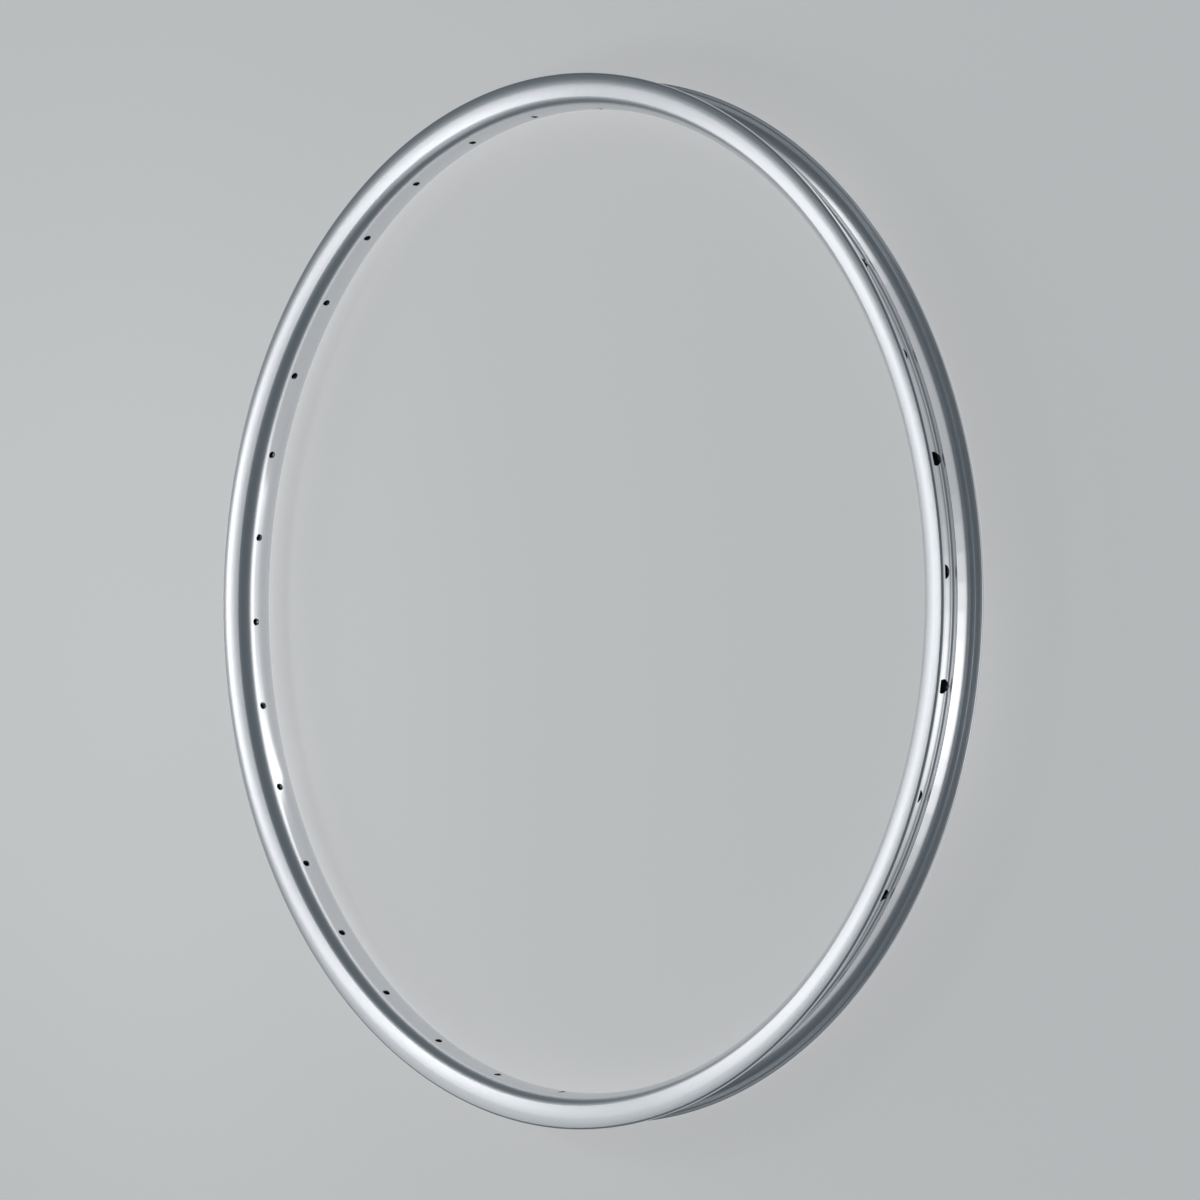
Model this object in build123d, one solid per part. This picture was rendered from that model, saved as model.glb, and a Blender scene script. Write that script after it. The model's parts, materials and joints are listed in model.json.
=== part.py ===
from build123d import *
import math
import os

# Bicycle rim for a disc brake wheel: one aluminium extrusion with a hollow box
# section, rolled to a hoop and drilled for its spokes and its tyre valve.
# The hoop's axis is Z. The side nearer the spoke holes is +Z, and Z = 0 is
# midway between the two flanges. All sizes are in millimetres and degrees.

# Hoop
bead_seat_diameter = 622.0
flange_height = 5.5
inside_width = 30.0
flange_thickness = 2.5
section_depth = 19.5

# Outside of the section
flange_lean = 4.0
near_wall_lean = 21.0
near_wall_straight = 5.5
near_wall_crown_radius = 28.0
near_corner_radius = 10.7
far_corner_radius = 19.0
bed_flat_depth = 0.17
flange_rounding = 1.1

# Tyre channel
hook_reach = 0.6
hook_height = 1.7
hook_slope_height = 0.7
seat_root_radius = 2.0
seat_slope = 4.5
well_depth = 3.6
well_floor_width = 11.0
well_wall_lean = 3.0

# Walls of the hollow chamber
side_wall = 1.2
tyre_bed_wall = 1.1
spoke_bed_wall = 1.9

# Spoke holes
spoke_count = 32
spoke_line_offset = 3.0
spoke_hole_diameter = 4.4
access_hole_diameter = 7.8
access_hole_lean = 7.5

# Valve hole
valve_hole_diameter = 6.5

# Worked out from the sizes above
seat_radius = bead_seat_diameter / 2
outer_radius = seat_radius + flange_height
bed_radius = outer_radius - section_depth
well_radius = seat_radius - well_depth
outside_width = inside_width + 2 * flange_thickness
half_width = outside_width / 2
half_inside = inside_width / 2
spoke_pitch = 360 / spoke_count


def tan_deg(angle):
    return math.tan(math.radians(angle))


def cos_deg(angle):
    return math.cos(math.radians(angle))


def rounded_face(corners):
    """Face in the plane of radius and Z, from (radius, z, rounding) corners."""
    points = [(radius, z) for radius, z, rounding in corners]
    roundings = [rounding for radius, z, rounding in corners]
    outline = FilletPolyline(*points, radius=roundings, close=True)
    return Plane.XZ * make_face(Plane.XY * outline)


def sunk(corners, wall):
    """The corners moved left into the metal by a wall's thickness, with roundings about the same centres."""
    moved = []
    for place, (radius, z, rounding) in enumerate(corners):
        here = Vector(radius, z)
        arriving = (here - Vector(corners[place - 1][:2])).normalized()
        leaving = (Vector(corners[(place + 1) % len(corners)][:2]) - here).normalized()
        left = (arriving + leaving).rotate(Axis.Z, 90) / (1 + arriving.dot(leaving))
        corner = here + left * wall
        moved_rounding = rounding - math.copysign(wall, arriving.cross(leaving).Z) if rounding else 0
        moved.append((corner.X, corner.Y, max(moved_rounding, 0)))
    return moved


def fitting(rounding, turn, leg):
    """The rounding of a corner that turns by an angle, kept shorter than the straight leg beside it."""
    return min(rounding, 0.95 * leg / tan_deg(turn / 2))


def outside_corners(flange_top):
    """Corners of the outside up to a radius, from the near flange round the spoke bed to the far flange."""
    top_z = half_width + (flange_top - outer_radius) * tan_deg(flange_lean)
    crown_radius = outer_radius - near_wall_straight
    crown_z = half_width - near_wall_straight * tan_deg(flange_lean)
    near_corner_z = crown_z - (crown_radius - bed_radius) * tan_deg(near_wall_lean)
    far_corner_z = half_width - section_depth * tan_deg(flange_lean)
    round_radius = bed_radius - bed_flat_depth
    flange_arc = flange_rounding * tan_deg((90 - flange_lean) / 2)
    crown_leg = (outer_radius - crown_radius) / cos_deg(flange_lean) - flange_arc
    far_leg = (outer_radius - round_radius) / cos_deg(flange_lean) - flange_arc
    crown_rounding = fitting(near_wall_crown_radius, near_wall_lean - flange_lean, crown_leg)
    far_rounding = fitting(far_corner_radius, 90 - flange_lean, far_leg)
    return [
        (flange_top, top_z, flange_rounding),
        (crown_radius, crown_z, crown_rounding),
        (round_radius, near_corner_z, near_corner_radius),
        (round_radius, -far_corner_z, far_rounding),
        (flange_top, -top_z, flange_rounding),
    ]


def channel_side(side):
    """Corners of one side of the tyre channel, from its mouth down to the well."""
    recess_z = half_inside + hook_reach
    nose_radius = outer_radius - hook_height
    floor_z = side * spoke_line_offset + well_floor_width / 2
    edge_z = floor_z + (seat_radius - well_radius) * tan_deg(well_wall_lean)
    edge_radius = seat_radius - (recess_z - edge_z) * tan_deg(seat_slope)
    corners = [
        (outer_radius, half_inside, 0),
        (nose_radius, half_inside, 0),
        (nose_radius - hook_slope_height, recess_z, 0),
        (seat_radius, recess_z, seat_root_radius),
        (edge_radius, edge_z, 0),
        (well_radius, floor_z, 0),
    ]
    return [(radius, side * z, rounding) for radius, z, rounding in corners]


def channel_corners():
    """Corners of the tyre channel, from the far flange over the well to the near flange."""
    return channel_side(-1) + channel_side(1)[::-1]


def band(inner_radius, band_outer_radius):
    """Rectangle across the whole section between two radii."""
    depth = band_outer_radius - inner_radius
    return Plane.XZ * Pos(inner_radius + depth / 2, 0) * Rectangle(depth, outside_width)


def chamber_face():
    """The closed hollow between the tyre bed, the side walls and the spoke bed."""
    hollow = rounded_face(sunk(outside_corners(outer_radius + side_wall), side_wall))
    hollow &= band(bed_radius + spoke_bed_wall, seat_radius)
    return hollow - rounded_face(sunk(channel_corners(), tyre_bed_wall))


def hoop():
    """The rolled extrusion, with its spoke bed faced flat, before drilling."""
    section = rounded_face(outside_corners(outer_radius) + channel_corners()) - chamber_face()
    section &= band(bed_radius, outer_radius)
    return revolve(section, axis=Axis.Z)


def drill_axis(angle, lean):
    """Place on the spoke line at an angle round the hoop, with its Z axis pointing outwards."""
    return Rot(Z=angle) * Pos(bed_radius, 0, spoke_line_offset) * Rot(Y=90 + lean)


def spoke_cut(index):
    """Nipple hole in the spoke bed, with a wider access hole that leans to alternate sides in the tyre bed."""
    angle = (index + 0.5) * spoke_pitch
    lean = access_hole_lean if index % 2 else -access_hole_lean
    middle = (bed_radius + spoke_bed_wall + well_radius - tyre_bed_wall) / 2 - bed_radius
    outwards = (Align.CENTER, Align.CENTER, Align.MIN)
    nipple_hole = Cylinder(spoke_hole_diameter / 2, 2 * middle)
    access_hole = Pos(Z=middle) * Cylinder(access_hole_diameter / 2, section_depth, align=outwards)
    return [drill_axis(angle, 0) * nipple_hole, drill_axis(angle, lean) * access_hole]


def valve_cut():
    """Straight hole through both beds, midway between two spoke holes."""
    return drill_axis(0, 0) * Cylinder(valve_hole_diameter / 2, 2 * section_depth)


rim = hoop()
rim -= [hole for index in range(spoke_count) for hole in spoke_cut(index)]
rim -= valve_cut()

os.makedirs("parts", exist_ok=True)
export_step(rim, "parts/rim.step")
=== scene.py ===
import json
import math

import bpy
from bpy.props import FloatProperty, FloatVectorProperty, IntProperty, PointerProperty
from bpy.types import Operator, Panel, PropertyGroup
from mathutils import Matrix, Vector


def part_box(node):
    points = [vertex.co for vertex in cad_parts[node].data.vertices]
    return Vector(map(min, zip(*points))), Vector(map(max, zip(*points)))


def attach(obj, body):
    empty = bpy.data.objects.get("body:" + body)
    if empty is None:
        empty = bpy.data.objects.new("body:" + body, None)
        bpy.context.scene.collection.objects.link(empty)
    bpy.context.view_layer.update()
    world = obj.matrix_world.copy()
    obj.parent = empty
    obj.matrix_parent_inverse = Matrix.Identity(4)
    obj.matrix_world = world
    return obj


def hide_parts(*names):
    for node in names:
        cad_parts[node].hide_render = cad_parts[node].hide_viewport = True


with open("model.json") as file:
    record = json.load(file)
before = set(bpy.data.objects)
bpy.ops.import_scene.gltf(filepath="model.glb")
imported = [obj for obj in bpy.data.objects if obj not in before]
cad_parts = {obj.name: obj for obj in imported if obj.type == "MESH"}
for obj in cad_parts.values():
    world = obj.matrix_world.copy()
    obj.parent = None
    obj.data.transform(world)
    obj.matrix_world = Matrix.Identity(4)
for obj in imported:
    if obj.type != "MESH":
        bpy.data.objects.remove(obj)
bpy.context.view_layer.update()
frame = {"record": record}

bl_info = {
    "name": "Bicycle rim",
    "version": (1, 0, 0),
    "blender": (4, 5, 0),
    "location": "View3D > Sidebar > Bicycle rim",
    "description": "Models a drilled hollow bicycle rim over its CAD part and sets up its studio",
    "category": "Object",
}

CAD_LOW, CAD_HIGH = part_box("rim")
BORES = [mount for mount in frame["record"]["mounts"] if mount["kind"] == "bore"]
SPOKE_HOLES = [mount for mount in BORES if mount["name"].startswith("spoke_hole")]
VALVE_HOLE = next(mount for mount in BORES if mount["name"] == "valve_hole")
Z_AXIS = Vector((0, 0, 1))

# How finely the shapes are made, in metres and radians
START_SIZE = 0.001
MERGE_REACH = 0.000001
SLIVER = 0.000002
LARGE_ROUNDING = 0.005
FINE_STEP = math.radians(5)
COARSE_STEP = math.radians(15)
LEAST_STEPS = 2
SMOOTH_ANGLE = math.radians(30)

# Corners of the chamber's far wall, as shares of the way up its arc
CHAMBER_SHARES = (0.3, 0.5, 0.75, 1)

# Drills: faces round them, how far they start before the spoke bed, and parts of the hollow to a gap
DRILL_SIDES = 36
DRILL_LEAD = 0.003
GAP_PARTS = 10

# Faces of the tyre channel: how much of a normal has to point out of it, and a margin in metres
FACING = 0.2
FACE_MARGIN = 0.00005

# Darkest and lightest tint and roughness of a metal, what clouds and marks add, and detail of their noise
TONE_RANGE = (0.93, 1.07)
GLOSS_RANGE = (0.9, 1.1)
CLOUD_SHARE = 0.5
MARK_SHARE = 0.5
CLOUD_DETAIL = 3
GRAIN_DETAIL = 2
LINE_DETAIL = 3

# Growth and brightness of each ring of a soft box, and what keeps lamps that overlap apart
SOFT_RINGS = ((1, 0.86), (1.6, 0.09), (2.4, 0.05))
PLAIN_RING = ((1, 1),)
RING_GAP = 0.03
CARD_LEVELS = 4
CARD_STEP = 0.0002

# Width of the camera's sensor in millimetres, and millimetres to a metre
SENSOR_WIDTH = 36
PER_METRE = 1000


def length(name, description, default):
    """A size in metres."""
    return FloatProperty(name=name, description=description, default=default, unit="LENGTH", precision=5)


def angle(name, description, degrees):
    """An angle, given in degrees."""
    return FloatProperty(name=name, description=description, default=math.radians(degrees), unit="ROTATION")


def share(name, description, default):
    """A value from 0 to 1."""
    return FloatProperty(name=name, description=description, default=default, min=0, max=1, subtype="FACTOR")


def colour(name, description, default):
    """A linear colour."""
    return FloatVectorProperty(name=name, description=description, default=default, size=3, subtype="COLOR")


def place(name, description, default):
    """A place in metres: towards the camera, up the picture and up from the hoop's middle."""
    return FloatVectorProperty(name=name, description=description, default=default, size=3, unit="LENGTH")


def extent(name, description, default):
    """Two sides of a lamp in metres."""
    return FloatVectorProperty(name=name, description=description, default=default, size=2, unit="LENGTH")


def light(name, description, default):
    """Brightness of a lamp's face."""
    return FloatProperty(name=name, description=description, default=default, min=0, subtype="UNSIGNED")


def count(name, description, default, least=1):
    """A whole number of like things."""
    return IntProperty(name=name, description=description, default=default, min=least)


class RimSection(PropertyGroup):
    """Sizes of the rolled section and of its drilling."""
    outer_radius: length("Outer radius", "From the hoop's axis to the top of the flanges", CAD_HIGH.x)
    width: length("Width", "Across both flanges, at their sharp corners", 0.035)
    inside_width: length("Inside width", "Between the hooks of the two flanges", 0.03)
    depth: length("Depth", "From the top of the flanges to the spoke bed", 0.01955)
    flange_height: length("Flange height", "From the bead seat to the top of the flange", 0.0055)
    flange_lean: angle("Flange lean", "Lean of the outside of both flanges", 4)
    wall_lean: angle("Wall lean", "Lean of the near wall below its crown", 21)
    wall_straight: length("Straight wall", "Height of the near flange above the crown", 0.0055)
    wall_bow: angle("Wall bow", "Half the turn of the near wall between its crown and its corner", 4)
    bow_drop: length("Bow drop", "From the crown down to the middle of the bowed wall", 0.005)
    bow_radius: length("Bow radius", "Rounding of the bowed wall", 0.048)
    crown_radius: length("Crown radius", "Rounding of the near wall below its flange", 0.022)
    near_radius: length("Near corner", "Rounding from the near wall to the spoke bed", 0.0102)
    far_radius: length("Far corner", "Rounding from the far flange to the spoke bed", 0.019)
    flange_rounding: length("Flange rounding", "Rounding of the outer edge of each flange", 0.0011)
    mouth_rounding: length("Mouth rounding", "Rounding of the inner edge of each flange", 0.0006)
    hook_reach: length("Hook reach", "How far each hook stands over the flange's inner face", 0.0006)
    hook_height: length("Hook height", "Height of the upright nose of each hook", 0.0017)
    hook_slope: length("Hook slope", "Height of the slope under each hook", 0.0007)
    hook_rounding: length("Hook rounding", "Rounding of the hook's corners", 0.0006)
    root_radius: length("Seat root", "Rounding between the bead seat and the flange", 0.0012)
    seat_slope: angle("Seat slope", "Slope of the bead seats down to the well", 4.5)
    seat_rounding: length("Seat edge", "Rounding where a bead seat drops into the well", 0.0003)
    well_depth: length("Well depth", "From the bead seat to the floor of the well", 0.0036)
    well_width: length("Well width", "Across the floor of the well", 0.011)
    well_lean: angle("Well lean", "Lean of the sides of the well", 3)
    well_rounding: length("Well rounding", "Rounding along the floor of the well", 0.002)
    line_offset: length("Spoke line", "From the middle of the hoop to the line of the spoke holes", 0.003)
    side_wall: length("Side wall", "Thickness of the side walls", 0.0012)
    tyre_wall: length("Tyre bed wall", "Thickness of the tyre bed", 0.0011)
    spoke_wall: length("Spoke bed wall", "Thickness of the spoke bed", 0.0019)
    access_radius: length("Access hole radius", "Radius of the access holes in the tyre bed", 0.0039)
    access_lean: angle("Access lean", "Lean of the access holes to alternate sides", 7.5)
    edge_break: length("Broken edge", "Width of the bevel round each hole in the spoke bed", 0.0003)
    steps_round: count("Steps round", "Faces round the hoop", 384, least=32)


class RimFinish(PropertyGroup):
    """Colours, gloss and marks of the metal."""
    satin_colour: colour("Satin metal", "Blasted and anodised outside", (0.8, 0.815, 0.835))
    satin_roughness: share("Satin roughness", "Roughness of the outside and of the flanges", 0.31)
    grain_size: length("Blast grain", "Size of the pits that blasting leaves", 0.0008)
    grain_depth: length("Grain depth", "Depth of the blasted pits", 0.00003)
    channel_colour: colour("Channel metal", "Extruded tyre channel", (0.9, 0.91, 0.927))
    well_roughness: share("Well roughness", "Roughness of the well of the tyre channel", 0.3)
    seat_roughness: share("Seat roughness", "Roughness of the bead seats", 0.19)
    line_size: length("Die lines", "Spacing of the lines that the die leaves round the hoop", 0.0006)
    line_depth: length("Line depth", "Depth of the die lines", 0.000004)
    cut_colour: colour("Cut metal", "Bevels and walls of the holes", (0.74, 0.745, 0.75))
    cut_roughness: share("Cut roughness", "Roughness of the drilled metal", 0.24)
    inside_colour: colour("Inside metal", "Untreated walls of the chamber", (0.42, 0.43, 0.44))
    inside_roughness: share("Inside roughness", "Roughness of the chamber", 0.45)
    cloud_size: length("Clouding", "Size of the faint clouds in the finish", 0.06)


class RimStage(PropertyGroup):
    """Camera, floor and lamps."""
    yaw: angle("Yaw", "Turn of the hoop away from the camera", 46.056)
    pitch: angle("Pitch", "Tip of the hoop towards the camera", 1.985)
    roll: angle("Roll", "Roll of the hoop in the picture", -2.534)
    turn: angle("Turn", "Turn of the hoop about its own axis", 67.903)
    distance: length("Distance", "From the camera to the middle of the hoop", 1.585135)
    aside: length("Aside", "How far the hoop's middle lies to the right of the picture's", -0.029533)
    above: length("Above", "How far the hoop's middle lies above the picture's", -0.000428)
    lens: FloatProperty(name="Lens", description="Focal length", default=78.03, unit="CAMERA")
    floor_size: length("Floor size", "Side of the floor", 12.0)
    floor_colour: colour("Floor", "Plain pale floor", (0.72, 0.72, 0.72))
    floor_roughness: share("Floor roughness", "Roughness of the floor", 0.9)
    floor_glow: share("Floor light", "Even light of the floor itself", 0.37)
    room_colour: colour("Room", "Even light of the room", (0.75, 0.9, 1.0))
    room_light: share("Room light", "Strength of the room's light", 0.14)
    key_place: place("Key place", "Soft box over the hoop's side away from the camera", (-0.53, 0, 0.56))
    key_size: extent("Key size", "Width and height of the bright part of the key lamp", (0.15, 0.11))
    key_light: light("Key light", "Brightness in the middle of the key lamp", 4.1)
    side_place: place("Side place", "Dimmer soft box below the key lamp in the picture", (-0.5, -0.28, 0.5))
    side_size: extent("Side size", "Width and height of the side lamp", (0.24, 0.18))
    side_light: light("Side light", "Brightness of the side lamp", 0.75)
    far_place: place("Far place", "Lower soft box behind the key lamp", (-1.5, 0, 0.55))
    far_size: extent("Far size", "Width and height of the far lamp", (0.45, 0.4))
    far_light: light("Far light", "Brightness of the far lamp", 2.1)
    inner_place: place("Inner card", "Light card on the floor inside the hoop", (-0.18, -0.025, -0.0165))
    inner_size: extent("Inner card size", "Length and width of the inner card", (0.18, 0.17))
    inner_light: light("Inner card light", "Brightness of the inner card", 1.05)
    outer_reach: length("Outer cards", "From the hoop's axis to the middle of the cards outside it", 0.3333)
    outer_size: extent("Outer card size", "Length and width of each outer card", (0.07, 0.033))
    outer_pitch: angle("Outer card pitch", "From one outer card to the next, round the hoop", 3)
    low_cards: count("Low cards", "Outer cards on the camera's side", 13)
    low_turn: angle("Low card turn", "Middle of the low cards, round the hoop from the camera", -10)
    low_light: light("Low card light", "Brightness of the middle low card", 0.21)
    high_cards: count("High cards", "Outer cards higher in the picture", 6)
    high_turn: angle("High card turn", "Middle of the high cards, round the hoop from the camera", 46)
    high_light: light("High card light", "Brightness of the middle high card", 0.2)


def select_only(piece):
    """Leave one object selected and active."""
    bpy.ops.object.select_all(action="DESELECT")
    piece.select_set(True)
    bpy.context.view_layer.objects.active = piece


def flat_turn(first, second):
    """Signed angle from one direction to another, in the plane of radius and height."""
    return math.atan2(first.x * second.y - first.y * second.x, first.dot(second))


def corner_arcs(corners):
    """For each (radius, height, rounding) corner: start, centre, turn, end and rounding of its arc."""
    points = [Vector((radius, height)) for radius, height, _ in corners]
    arcs = []
    for number, (_, _, rounding) in enumerate(corners):
        here = points[number]
        arriving = (here - points[number - 1]).normalized()
        leaving = (points[(number + 1) % len(points)] - here).normalized()
        turn = flat_turn(arriving, leaving)
        reach = rounding * math.tan(abs(turn) / 2)
        start = here - arriving * reach
        inward = Vector((-arriving.y, arriving.x)) * math.copysign(1, turn)
        arcs.append((start, start + inward * rounding, turn, here + leaving * reach, rounding))
    return arcs


def arc_steps(rounding, turn):
    """Faces across an arc: finer steps on a large one."""
    step = FINE_STEP if rounding > LARGE_ROUNDING else COARSE_STEP
    return max(LEAST_STEPS, math.ceil(abs(turn) / step))


def draw_outline(name, corners):
    """A closed wire in the XZ plane: one point extruded along the lines and spun round the corners."""
    arcs = corner_arcs(corners)
    first = arcs[0][0]
    bpy.ops.object.select_all(action="DESELECT")
    bpy.ops.mesh.primitive_plane_add(size=START_SIZE, location=(first.x, 0, first.y))
    piece = bpy.context.active_object
    piece.name = piece.data.name = name
    bpy.ops.object.transform_apply(location=True)
    bpy.ops.object.mode_set(mode="EDIT")
    bpy.ops.mesh.select_all(action="SELECT")
    bpy.ops.mesh.merge(type="CENTER")
    for number, (_, centre, turn, end, rounding) in enumerate(arcs):
        if rounding > 0:
            bpy.ops.mesh.spin(steps=arc_steps(rounding, turn), angle=turn,
                              center=(centre.x, 0, centre.y), axis=(0, 1, 0))
        line = arcs[(number + 1) % len(arcs)][0] - end
        bpy.ops.mesh.extrude_vertices_move(TRANSFORM_OT_translate={"value": (line.x, 0, line.y)})
    bpy.ops.mesh.select_all(action="SELECT")
    bpy.ops.mesh.remove_doubles(threshold=MERGE_REACH)
    return piece


def spin_round(steps):
    """Spin the wire in edit mode once round the hoop's axis, and close it."""
    bpy.ops.mesh.select_all(action="SELECT")
    bpy.ops.mesh.spin(steps=steps, angle=2 * math.pi, center=(0, 0, 0), axis=(0, 0, 1))
    bpy.ops.mesh.select_all(action="SELECT")
    bpy.ops.mesh.remove_doubles(threshold=MERGE_REACH)
    bpy.ops.mesh.normals_make_consistent(inside=False)
    bpy.ops.object.mode_set(mode="OBJECT")


def wall_height(size, radius):
    """Height of the near wall at a radius below its crown, leaning straight."""
    crown = size.outer_radius - size.wall_straight
    crown_z = size.width / 2 - size.wall_straight * math.tan(size.flange_lean)
    return crown_z - (crown - radius) * math.tan(size.wall_lean)


def outside_corners(size):
    """Corners of the outside, from the near flange round the spoke bed to the far flange."""
    half = size.width / 2
    bed = size.outer_radius - size.depth
    bow = size.outer_radius - size.wall_straight - size.bow_drop
    bow_z = wall_height(size, bow)
    flange_slope = math.tan(size.flange_lean)
    upper_slope = math.tan(size.wall_lean - size.wall_bow)
    lower_slope = math.tan(size.wall_lean + size.wall_bow)
    above_bow = half - (size.outer_radius - bow) * flange_slope - bow_z
    crown = bow + above_bow / (upper_slope - flange_slope)
    return [
        (size.outer_radius, half, size.flange_rounding),
        (crown, bow_z + (crown - bow) * upper_slope, size.crown_radius),
        (bow, bow_z, size.bow_radius),
        (bed, bow_z - (bow - bed) * lower_slope, size.near_radius),
        (bed, size.depth * flange_slope - half, size.far_radius),
        (size.outer_radius, -half, size.flange_rounding),
    ]


def channel_side(size, side):
    """Corners of one side of the tyre channel, from its mouth down to the well."""
    seat = size.outer_radius - size.flange_height
    well = seat - size.well_depth
    nose_z = size.inside_width / 2
    recess_z = nose_z + size.hook_reach
    nose = size.outer_radius - size.hook_height
    floor_z = side * size.line_offset + size.well_width / 2
    edge_z = floor_z + size.well_depth * math.tan(size.well_lean)
    edge = seat - (recess_z - edge_z) * math.tan(size.seat_slope)
    corners = [
        (size.outer_radius, nose_z, size.mouth_rounding),
        (nose, nose_z, size.hook_rounding),
        (nose - size.hook_slope, recess_z, size.hook_rounding),
        (seat, recess_z, size.root_radius),
        (edge, edge_z, size.seat_rounding),
        (well, floor_z, size.well_rounding),
    ]
    return [(radius, side * height, rounding) for radius, height, rounding in corners]


def chamber_corners(size):
    """Corners of the hollow between the two beds and the side walls."""
    bed, far_z, _ = outside_corners(size)[-2]
    top = size.outer_radius - size.flange_height - 2 * size.tyre_wall
    well = size.outer_radius - size.flange_height - size.well_depth - size.tyre_wall
    low = bed + size.spoke_wall
    half_well = size.well_width / 2 + size.tyre_wall
    centre_z = far_z + size.far_radius * math.tan((math.pi / 2 - size.flange_lean) / 2)
    inner_radius = size.far_radius - size.side_wall
    steepest = math.acos((bed + size.far_radius - top) / inner_radius)
    wall = size.side_wall / math.cos(size.wall_lean)
    foot_z = size.line_offset + half_well - size.tyre_wall
    knee = (low + well) / 2
    corners = [
        (top, wall_height(size, top) - wall, 0),
        (knee, wall_height(size, knee) - wall, 0),
        (low, foot_z, 0),
    ]
    for share_up in CHAMBER_SHARES:
        slope = steepest * share_up
        radius = bed + size.far_radius - inner_radius * math.cos(slope)
        corners.append((max(radius, low), centre_z - inner_radius * math.sin(slope), 0))
    for height in (size.line_offset - half_well, size.line_offset + half_well):
        step = [(top, height, 0), (well, height, 0)]
        corners += step if height < size.line_offset else step[::-1]
    return corners


def cut_away(piece, tool):
    """Cut a tool out of a piece with an applied Boolean, and remove the tool."""
    select_only(piece)
    bpy.ops.object.modifier_add(type="BOOLEAN")
    cut = piece.modifiers[-1]
    cut.operation = "DIFFERENCE"
    cut.solver = "EXACT"
    cut.material_mode = "TRANSFER"
    cut.object = tool
    bpy.ops.object.modifier_apply(modifier=cut.name)
    bpy.data.objects.remove(tool)


def drop_slivers(piece):
    """Dissolve the edges and faces of no size that the cuts leave."""
    select_only(piece)
    bpy.ops.object.mode_set(mode="EDIT")
    bpy.ops.mesh.select_all(action="SELECT")
    bpy.ops.mesh.dissolve_degenerate(threshold=SLIVER)
    bpy.ops.object.mode_set(mode="OBJECT")


class RIM_OT_hoop(Operator):
    """Draws the section and the chamber, and spins them to the hollow hoop"""
    bl_idname = "bicycle_rim.hoop"
    bl_label = "Hoop"

    def execute(self, context):
        size = context.scene.rim_section
        finish = context.scene.rim_finish
        corners = outside_corners(size) + channel_side(size, -1) + channel_side(size, 1)[::-1]
        hoop = draw_outline("rim_hoop", corners)
        spin_round(size.steps_round)
        hoop.data.materials.append(satin_metal(finish))
        chamber = draw_outline("rim_chamber", chamber_corners(size))
        spin_round(size.steps_round // 2)
        chamber.data.materials.append(inside_metal(finish))
        cut_away(hoop, chamber)
        return {"FINISHED"}


def model_drill(name, steps, cut_finish):
    """A round drill along Z that goes through (height, radius) steps, closed at both ends."""
    height, radius = steps[0]
    bpy.ops.object.select_all(action="DESELECT")
    bpy.ops.mesh.primitive_circle_add(vertices=DRILL_SIDES, radius=radius, fill_type="NGON",
                                      location=(0, 0, height))
    drill = bpy.context.active_object
    drill.name = drill.data.name = name
    drill.data.materials.append(cut_finish)
    bpy.ops.object.transform_apply(location=True)
    bpy.ops.object.mode_set(mode="EDIT")
    bpy.ops.mesh.select_all(action="SELECT")
    for next_height, next_radius in steps[1:]:
        widen = next_radius / radius
        bpy.ops.mesh.extrude_region_move(TRANSFORM_OT_translate={"value": (0, 0, next_height - height)})
        bpy.ops.transform.resize(value=(widen, widen, 1), center_override=(0, 0, 0))
        height, radius = next_height, next_radius
    bpy.ops.mesh.select_all(action="SELECT")
    bpy.ops.mesh.normals_make_consistent(inside=False)
    bpy.ops.object.mode_set(mode="OBJECT")
    return drill


def bevelled_steps(radius, reach, bevel):
    """Steps of a drill that enters from the hub side and breaks the edge of its hole."""
    return [(-DRILL_LEAD, radius + bevel + DRILL_LEAD), (bevel, radius), (reach, radius)]


def set_copy(drill, mount, lean, bed):
    """A copy of a drill on the spoke bed at a mount, along its axis or leaning from it towards +Z."""
    select_only(drill)
    bpy.ops.object.duplicate(linked=False)
    copy = bpy.context.active_object
    axis = Vector(mount["axis"])
    start = Vector((axis.x * bed, axis.y * bed, mount["pos_m"][2]))
    direction = axis * math.cos(lean) + Z_AXIS * math.sin(lean)
    copy.matrix_world = Matrix.Translation(start) @ direction.to_track_quat("Z", "Y").to_matrix().to_4x4()
    return copy


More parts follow.
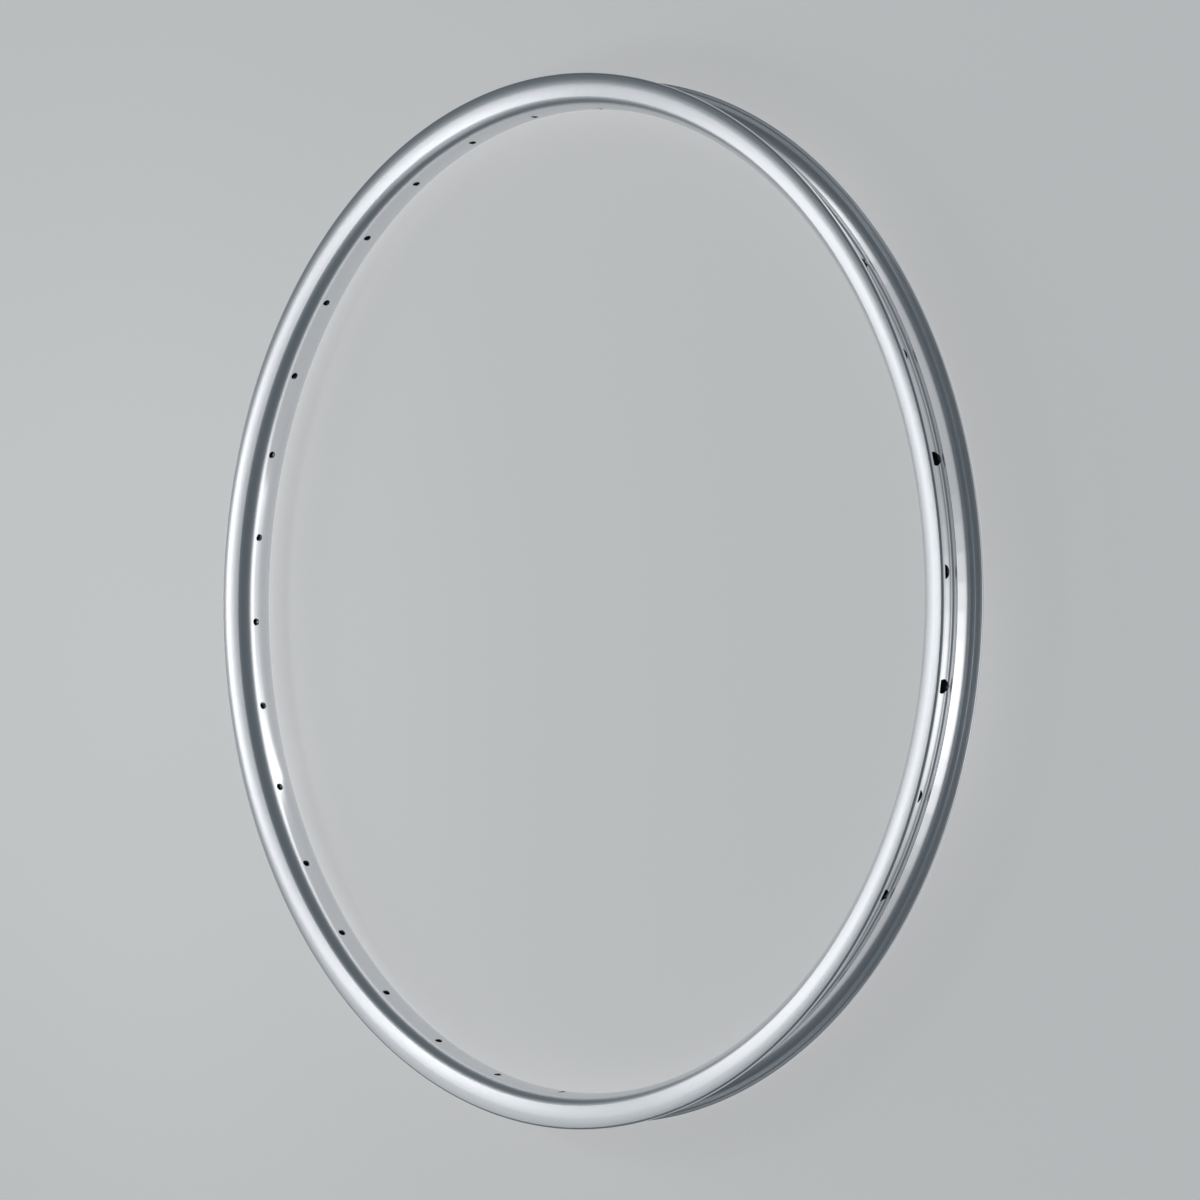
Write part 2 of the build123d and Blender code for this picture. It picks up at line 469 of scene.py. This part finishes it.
class RIM_OT_drilling(Operator):
    """Drills the spoke holes with their access holes, and the valve hole"""
    bl_idname = "bicycle_rim.drilling"
    bl_label = "Drilling"

    def execute(self, context):
        size = context.scene.rim_section
        cut_finish = cut_metal(context.scene.rim_finish)
        bed = size.outer_radius - size.depth
        hollow = size.depth - size.flange_height - size.well_depth - size.spoke_wall - size.tyre_wall
        halfway = size.spoke_wall + hollow / 2
        gap = hollow / GAP_PARTS
        nipple_radius = SPOKE_HOLES[0]["dims"]["r_mm"] / PER_METRE
        valve_radius = VALVE_HOLE["dims"]["r_mm"] / PER_METRE
        nipple_steps = bevelled_steps(nipple_radius, halfway - gap, size.edge_break)
        valve_steps = bevelled_steps(valve_radius, size.depth, size.edge_break)
        access_steps = [(halfway + gap, size.access_radius), (size.depth, size.access_radius)]
        nipple_drill = model_drill("nipple_drill", nipple_steps, cut_finish)
        access_drill = model_drill("access_drill", access_steps, cut_finish)
        valve_drill = model_drill("valve_drill", valve_steps, cut_finish)
        cuts = [set_copy(valve_drill, VALVE_HOLE, 0, bed)]
        for number, mount in enumerate(SPOKE_HOLES):
            lean = -size.access_lean if number % 2 else size.access_lean
            cuts.append(set_copy(nipple_drill, mount, 0, bed))
            cuts.append(set_copy(access_drill, mount, lean, bed))
        select_only(cuts[0])
        for cut in cuts:
            cut.select_set(True)
        bpy.ops.object.join()
        hoop = bpy.data.objects["rim_hoop"]
        cut_away(hoop, cuts[0])
        drop_slivers(hoop)
        for drill in (nipple_drill, access_drill, valve_drill):
            bpy.data.objects.remove(drill)
        return {"FINISHED"}


def link(tree, source, output, target, entry):
    """Join an output of one node to an input of another."""
    tree.links.new(source.outputs[output], target.inputs[entry])


def start_group(name, output):
    """A node group that takes in a size and puts out one value, its two end nodes in place."""
    group = bpy.data.node_groups.new(name, "ShaderNodeTree")
    group.interface.new_socket("Size", in_out="INPUT", socket_type="NodeSocketFloat")
    group.interface.new_socket(output, in_out="OUTPUT", socket_type="NodeSocketFloat")
    return group, group.nodes.new("NodeGroupInput"), group.nodes.new("NodeGroupOutput")


def add_noise(group, entry, detail):
    """A noise texture in a group, with its scale worked out from the group's size."""
    scale = group.nodes.new("ShaderNodeMath")
    scale.operation = "DIVIDE"
    scale.inputs[0].default_value = 1
    noise = group.nodes.new("ShaderNodeTexNoise")
    noise.inputs["Detail"].default_value = detail
    link(group, entry, "Size", scale, 1)
    link(group, scale, "Value", noise, "Scale")
    return noise


def even_noise(name, output, detail):
    """A node group of noise that is alike in every direction, from 0 to 1."""
    if name in bpy.data.node_groups:
        return bpy.data.node_groups[name]
    group, entry, end = start_group(name, output)
    coordinates = group.nodes.new("ShaderNodeTexCoord")
    noise = add_noise(group, entry, detail)
    link(group, coordinates, "Object", noise, "Vector")
    link(group, noise, "Fac", end, output)
    return group


def clouding():
    """Broad faint clouds in a finish, from 0 to 1."""
    return even_noise("clouding", "Cloud", CLOUD_DETAIL)


def blast_grain():
    """Fine pits all over the metal, as a height from 0 to 1."""
    return even_noise("blast_grain", "Marks", GRAIN_DETAIL)


def die_lines():
    """Fine lines that run round the hoop, as a height from 0 to 1."""
    if "die_lines" in bpy.data.node_groups:
        return bpy.data.node_groups["die_lines"]
    group, entry, end = start_group("die_lines", "Marks")
    coordinates = group.nodes.new("ShaderNodeTexCoord")
    parts = group.nodes.new("ShaderNodeSeparateXYZ")
    level = group.nodes.new("ShaderNodeCombineXYZ")
    radius = group.nodes.new("ShaderNodeVectorMath")
    radius.operation = "LENGTH"
    across = group.nodes.new("ShaderNodeCombineXYZ")
    noise = add_noise(group, entry, LINE_DETAIL)
    noise.noise_dimensions = "2D"
    link(group, coordinates, "Object", parts, "Vector")
    link(group, parts, "X", level, "X")
    link(group, parts, "Y", level, "Y")
    link(group, level, "Vector", radius, "Vector")
    link(group, radius, "Value", across, "X")
    link(group, parts, "Z", across, "Y")
    link(group, across, "Vector", noise, "Vector")
    link(group, noise, "Fac", end, "Marks")
    return group


def add_group(tree, group, size):
    """A group placed in a material, at its own size."""
    node = tree.nodes.new("ShaderNodeGroup")
    node.node_tree = group
    node.inputs["Size"].default_value = size
    return node


def new_material(name):
    """A material with its shader."""
    material = bpy.data.materials.new(name)
    material.use_nodes = True
    return material, material.node_tree, material.node_tree.nodes["Principled BSDF"]


def metal(name, tint, roughness, marks, mark_size, mark_depth, cloud_size):
    """Metal with faint clouds and fine marks in its tint and roughness, and the marks in its surface."""
    material, tree, shader = new_material(name)
    shader.inputs["Metallic"].default_value = 1
    cloud = add_group(tree, clouding(), cloud_size)
    mark = add_group(tree, marks, mark_size)
    cloud_part = tree.nodes.new("ShaderNodeMath")
    cloud_part.operation = "MULTIPLY"
    cloud_part.inputs[1].default_value = CLOUD_SHARE
    both = tree.nodes.new("ShaderNodeMath")
    both.operation = "MULTIPLY_ADD"
    both.inputs[1].default_value = MARK_SHARE
    darkest, lightest = TONE_RANGE
    tone = tree.nodes.new("ShaderNodeMix")
    tone.data_type = "RGBA"
    tone.inputs["A"].default_value = (*[part * darkest for part in tint], 1)
    tone.inputs["B"].default_value = (*[min(part * lightest, 1) for part in tint], 1)
    smoothest, roughest = GLOSS_RANGE
    gloss = tree.nodes.new("ShaderNodeMapRange")
    gloss.inputs["To Min"].default_value = roughness * smoothest
    gloss.inputs["To Max"].default_value = roughness * roughest
    bump = tree.nodes.new("ShaderNodeBump")
    bump.inputs["Distance"].default_value = mark_depth
    link(tree, cloud, "Cloud", cloud_part, 0)
    link(tree, mark, "Marks", both, 0)
    link(tree, cloud_part, "Value", both, 2)
    link(tree, both, "Value", tone, "Factor")
    link(tree, tone, "Result", shader, "Base Color")
    link(tree, both, "Value", gloss, "Value")
    link(tree, gloss, "Result", shader, "Roughness")
    link(tree, mark, "Marks", bump, "Height")
    link(tree, bump, "Normal", shader, "Normal")
    return material


def satin_metal(finish):
    """Blasted and anodised aluminium of the outside."""
    return metal("satin_outside", finish.satin_colour, finish.satin_roughness,
                 blast_grain(), finish.grain_size, finish.grain_depth, finish.cloud_size)


def well_metal(finish):
    """Smoother aluminium of the well, with die lines."""
    return metal("tyre_well", finish.channel_colour, finish.well_roughness,
                 die_lines(), finish.line_size, finish.line_depth, finish.cloud_size)


def seat_metal(finish):
    """The smoothest aluminium, on the bead seats, with die lines."""
    return metal("bead_seats", finish.channel_colour, finish.seat_roughness,
                 die_lines(), finish.line_size, finish.line_depth, finish.cloud_size)


def cut_metal(finish):
    """Bright metal where the holes are drilled."""
    return metal("drilled_edges", finish.cut_colour, finish.cut_roughness,
                 blast_grain(), finish.grain_size, finish.grain_depth, finish.cloud_size)


def inside_metal(finish):
    """Dull metal inside the chamber."""
    return metal("chamber_walls", finish.inside_colour, finish.inside_roughness,
                 die_lines(), finish.line_size, finish.line_depth, finish.cloud_size)


def in_channel(face, size):
    """Whether a face belongs to the tyre channel: from the well up to the roots of the flanges."""
    centre, normal = face.center, face.normal
    radius = math.hypot(centre.x, centre.y)
    outward = (normal.x * centre.x + normal.y * centre.y) / radius
    to_side = math.copysign(normal.z, normal.z * centre.z)
    well = size.outer_radius - size.flange_height - size.well_depth
    seat = size.outer_radius - size.flange_height
    across = abs(centre.z) < size.inside_width / 2 + size.hook_reach + FACE_MARGIN
    along = well - FACE_MARGIN < radius < seat + FACE_MARGIN
    return across and along and (outward > FACING or to_side < -FACING)


def on_seat(face, size):
    """Whether a face of the tyre channel lies beside the well."""
    half_mouth = size.well_width / 2 + size.well_depth * math.tan(size.well_lean)
    return abs(face.center.z - size.line_offset) > half_mouth


class RIM_OT_finish(Operator):
    """Gives the tyre channel its finish, smooths the faces and puts the piece in the CAD part's place"""
    bl_idname = "bicycle_rim.finish"
    bl_label = "Finish"

    def execute(self, context):
        size = context.scene.rim_section
        finish = context.scene.rim_finish
        hoop = bpy.data.objects["rim_hoop"]
        select_only(hoop)
        hoop.data.materials.append(well_metal(finish))
        hoop.data.materials.append(seat_metal(finish))
        well = len(hoop.data.materials) - 2
        for face in hoop.data.polygons:
            if face.material_index == 0 and in_channel(face, size):
                face.material_index = well + on_seat(face, size)
        bpy.ops.object.shade_smooth_by_angle(angle=SMOOTH_ANGLE)
        bpy.ops.object.modifier_add(type="WEIGHTED_NORMAL")
        even = hoop.modifiers[-1]
        even.keep_sharp = True
        bpy.ops.object.modifier_apply(modifier=even.name)
        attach(hoop, "root")
        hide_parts("rim")
        return {"FINISHED"}


def add_lamp(name, middle, facing, along, size, brightness):
    """A rectangular lamp that the camera doesn't see, with its first side along a direction."""
    lamp = bpy.data.lights.new(name, "AREA")
    lamp.shape = "RECTANGLE"
    lamp.size, lamp.size_y = size
    lamp.energy = brightness * math.pi * lamp.size * lamp.size_y
    holder = bpy.data.objects.new(name, lamp)
    bpy.context.scene.collection.objects.link(holder)
    back = -facing.normalized()
    turn = Matrix((along, back.cross(along), back)).transposed()
    holder.matrix_world = Matrix.Translation(middle) @ turn.to_4x4()
    holder.visible_camera = False


def picture_axes(camera_place):
    """Level directions towards the camera and up the picture, and upright."""
    towards = Vector((camera_place.x, camera_place.y, 0)).normalized()
    return Matrix((towards, Z_AXIS.cross(towards), Z_AXIS)).transposed()


def add_soft_box(name, middle, along, size, brightness, rings):
    """A lamp that faces the middle of the hoop, in rings that get dimmer outwards."""
    for number, (growth, part) in enumerate(rings):
        ring_size = (size[0] * growth, size[1] * growth)
        ring_middle = middle * (1 + number * RING_GAP)
        add_lamp(f"{name}_{number}", ring_middle, -middle, along, ring_size, brightness * part)


def add_card_row(name, first_place, stage, cards, middle_turn, brightness):
    """Light cards on the floor round the hoop that overlap and get dimmer to both ends of their row."""
    for number in range(cards):
        aside = number - (cards - 1) / 2
        turn = Matrix.Rotation(middle_turn + aside * stage.outer_pitch, 3, "Z")
        middle = turn @ first_place + Z_AXIS * (number % CARD_LEVELS * CARD_STEP)
        along = Z_AXIS.cross(middle).normalized()
        part = math.cos(math.pi * aside / (cards + 1)) ** 2
        add_lamp(f"{name}_card_{number}", middle, Z_AXIS, along, stage.outer_size, brightness * part)


def add_lamps(stage, axes):
    """Three soft boxes opposite the camera, and low cards that light the spoke bed and the tyre channel."""
    across = axes.col[1].normalized()
    key_place = axes @ Vector(stage.key_place)
    side_place = axes @ Vector(stage.side_place)
    far_place = axes @ Vector(stage.far_place)
    inner_place = axes @ Vector(stage.inner_place)
    add_soft_box("key", key_place, across, stage.key_size, stage.key_light, SOFT_RINGS)
    add_soft_box("side", side_place, across, stage.side_size, stage.side_light, PLAIN_RING)
    add_soft_box("far", far_place, across, stage.far_size, stage.far_light, PLAIN_RING)
    add_lamp("inner_card", inner_place, Z_AXIS, across, stage.inner_size, stage.inner_light)
    outer_place = axes.col[0].normalized() * stage.outer_reach + Z_AXIS * inner_place.z
    add_card_row("low", outer_place, stage, stage.low_cards, stage.low_turn, stage.low_light)
    add_card_row("high", outer_place, stage, stage.high_cards, stage.high_turn, stage.high_light)


def camera_turn(stage):
    """Rotation from the hoop's frame to the picture's: right, up and towards the camera."""
    roll = Matrix.Rotation(stage.roll, 3, "Z")
    pitch = Matrix.Rotation(stage.pitch, 3, "X")
    yaw = Matrix.Rotation(-stage.yaw, 3, "Y")
    return roll @ pitch @ yaw @ Matrix.Rotation(stage.turn, 3, "Z")


def add_floor(stage):
    """Plain pale floor under the rim."""
    bpy.ops.object.select_all(action="DESELECT")
    bpy.ops.mesh.primitive_plane_add(size=stage.floor_size, location=(0, 0, CAD_LOW.z))
    floor = bpy.context.active_object
    floor.name = floor.data.name = "floor"
    material, _, shader = new_material("pale_floor")
    shader.inputs["Base Color"].default_value = (*stage.floor_colour, 1)
    shader.inputs["Roughness"].default_value = stage.floor_roughness
    shader.inputs["Emission Color"].default_value = (1, 1, 1, 1)
    shader.inputs["Emission Strength"].default_value = stage.floor_glow
    floor.data.materials.append(material)


def add_room(scene, stage):
    """Even light from all round."""
    world = bpy.data.worlds.new("room")
    world.use_nodes = True
    background = world.node_tree.nodes["Background"]
    background.inputs["Color"].default_value = (*stage.room_colour, 1)
    background.inputs["Strength"].default_value = stage.room_light
    scene.world = world


def add_camera(scene, stage):
    """The camera of the picture, with the hoop turned as it is there."""
    turn = camera_turn(stage).transposed()
    camera_place = turn @ Vector((-stage.aside, -stage.above, stage.distance))
    camera = bpy.data.cameras.new("camera")
    camera.lens = stage.lens
    camera.sensor_width = SENSOR_WIDTH
    holder = bpy.data.objects.new("camera", camera)
    scene.collection.objects.link(holder)
    holder.matrix_world = Matrix.Translation(camera_place) @ turn.to_4x4()
    scene.camera = holder
    return camera_place


class RIM_OT_stage(Operator):
    """Sets the floor, the lamps and the camera"""
    bl_idname = "bicycle_rim.stage"
    bl_label = "Stage"

    def execute(self, context):
        scene = context.scene
        stage = scene.rim_stage
        add_floor(stage)
        add_room(scene, stage)
        camera_place = add_camera(scene, stage)
        add_lamps(stage, picture_axes(camera_place))
        scene.view_settings.view_transform = "Standard"
        return {"FINISHED"}


class RIM_PT_panel(Panel):
    """Lists the steps that make the rim and its studio"""
    bl_idname = "RIM_PT_panel"
    bl_label = "Bicycle rim"
    bl_space_type = "VIEW_3D"
    bl_region_type = "UI"
    bl_category = "Bicycle rim"

    def draw(self, context):
        for step in STEPS:
            self.layout.operator(step.bl_idname)


STEPS = (RIM_OT_hoop, RIM_OT_drilling, RIM_OT_finish, RIM_OT_stage)
GROUPS = {"rim_section": RimSection, "rim_finish": RimFinish, "rim_stage": RimStage}


def register():
    """Register the groups, the steps and the panel."""
    for name, group in GROUPS.items():
        bpy.utils.register_class(group)
        setattr(bpy.types.Scene, name, PointerProperty(type=group))
    for step in (*STEPS, RIM_PT_panel):
        bpy.utils.register_class(step)


def unregister():
    """Undo register."""
    for step in (RIM_PT_panel, *reversed(STEPS)):
        bpy.utils.unregister_class(step)
    for name, group in reversed(GROUPS.items()):
        delattr(bpy.types.Scene, name)
        bpy.utils.unregister_class(group)


def main():
    """Make the rim and its studio."""
    register()
    bpy.ops.bicycle_rim.hoop()
    bpy.ops.bicycle_rim.drilling()
    bpy.ops.bicycle_rim.finish()
    bpy.ops.bicycle_rim.stage()


if __name__ == "__main__":
    main()
